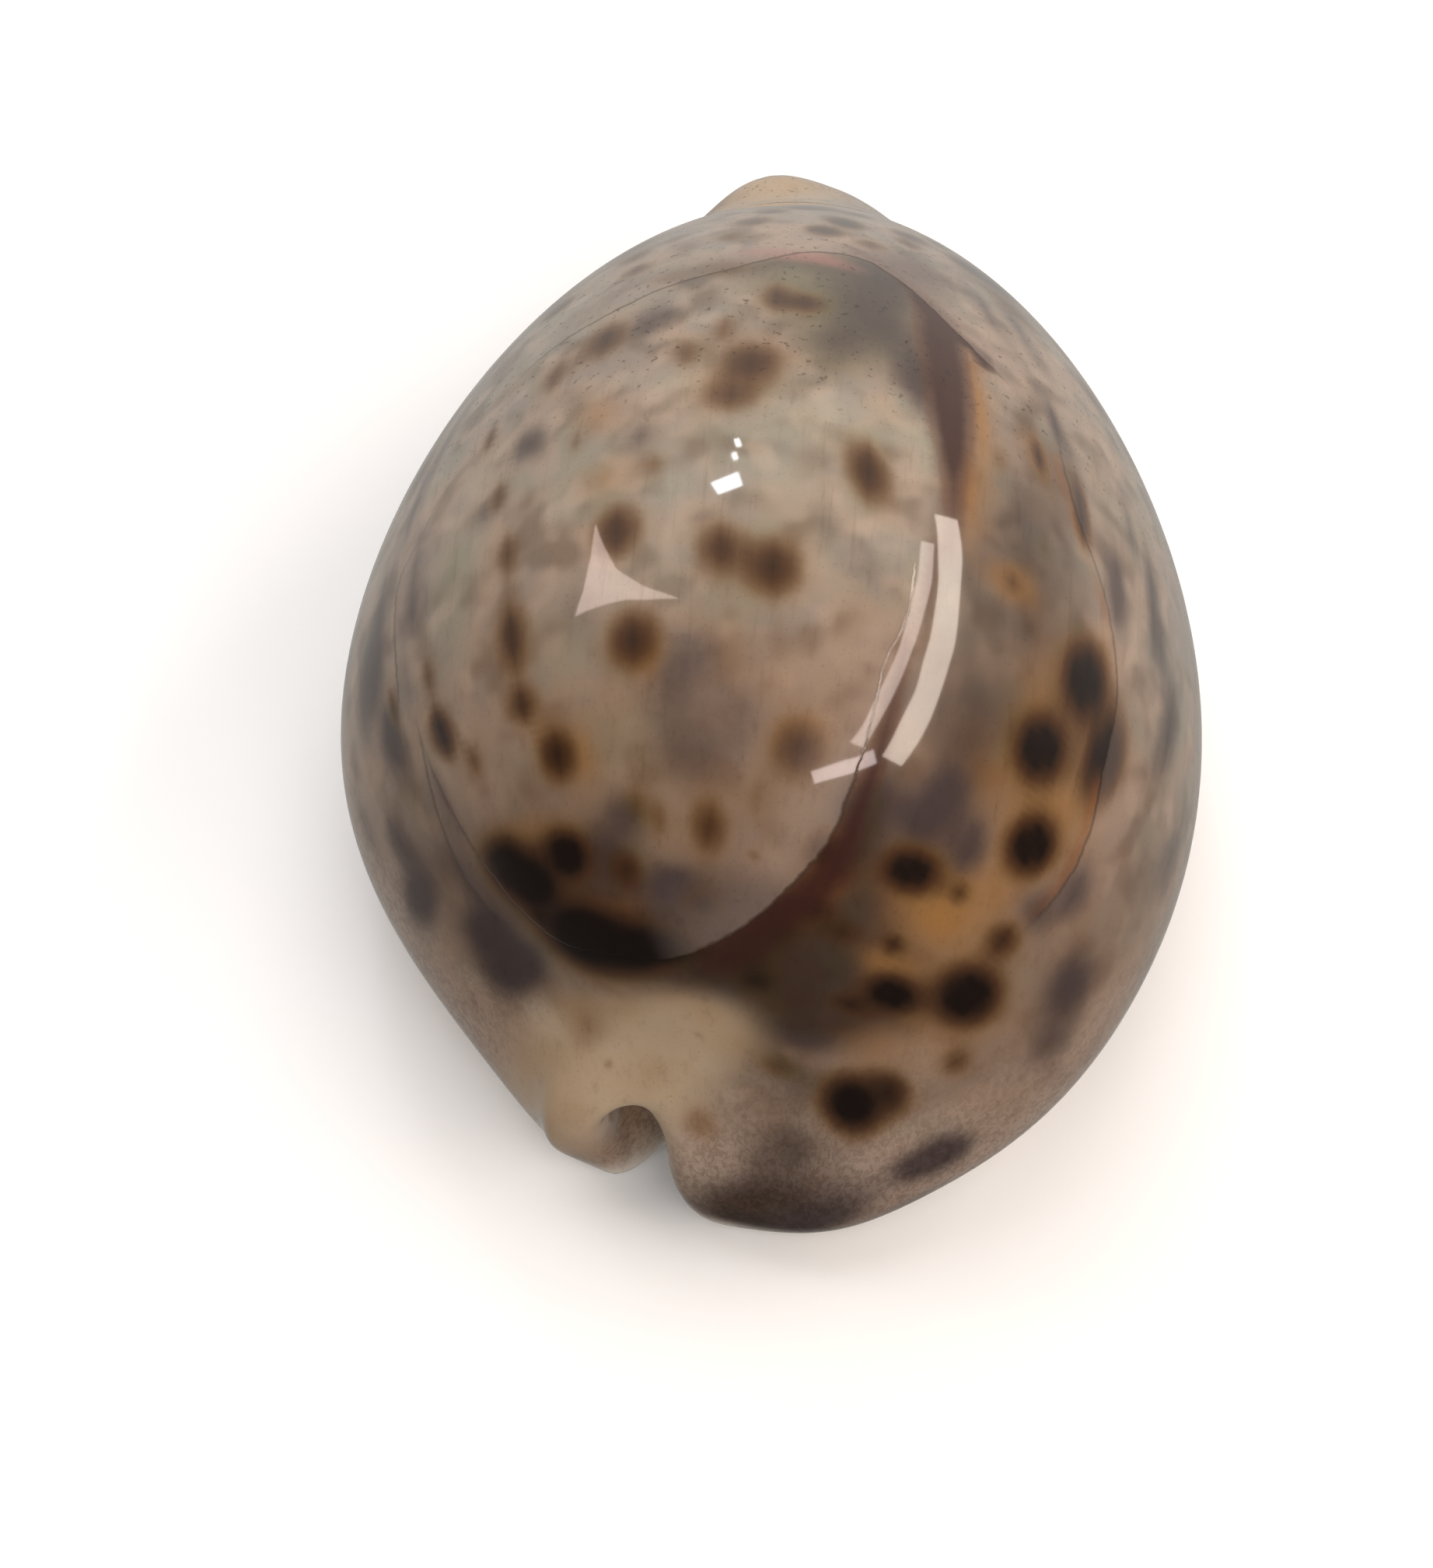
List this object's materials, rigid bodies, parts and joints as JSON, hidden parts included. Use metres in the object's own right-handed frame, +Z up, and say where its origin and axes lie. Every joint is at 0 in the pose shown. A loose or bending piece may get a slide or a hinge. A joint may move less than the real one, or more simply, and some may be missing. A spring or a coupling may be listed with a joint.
{
  "type": "cowrie shell",
  "caption": "Hollow egg-shaped sea shell with a glossy spotted back, a flat base and a long toothed slit between rolled lips, notched at both ends.",
  "frame": {"origin": "on the surface the shell rests on, under the middle of its bounding box", "axes": "+Z up out of the back, +Y along the shell towards its front end, +X towards the outer lip"},
  "size_m": [0.0598, 0.081, 0.0456],
  "materials": {
    "shell_glaze": "natural porcelain-like gloss over a pinkish-grey ground with dark brown spots"
  },
  "bodies": {
    "root": {"cowrie_shell": "shell_glaze"}
  },
  "joints": []
}
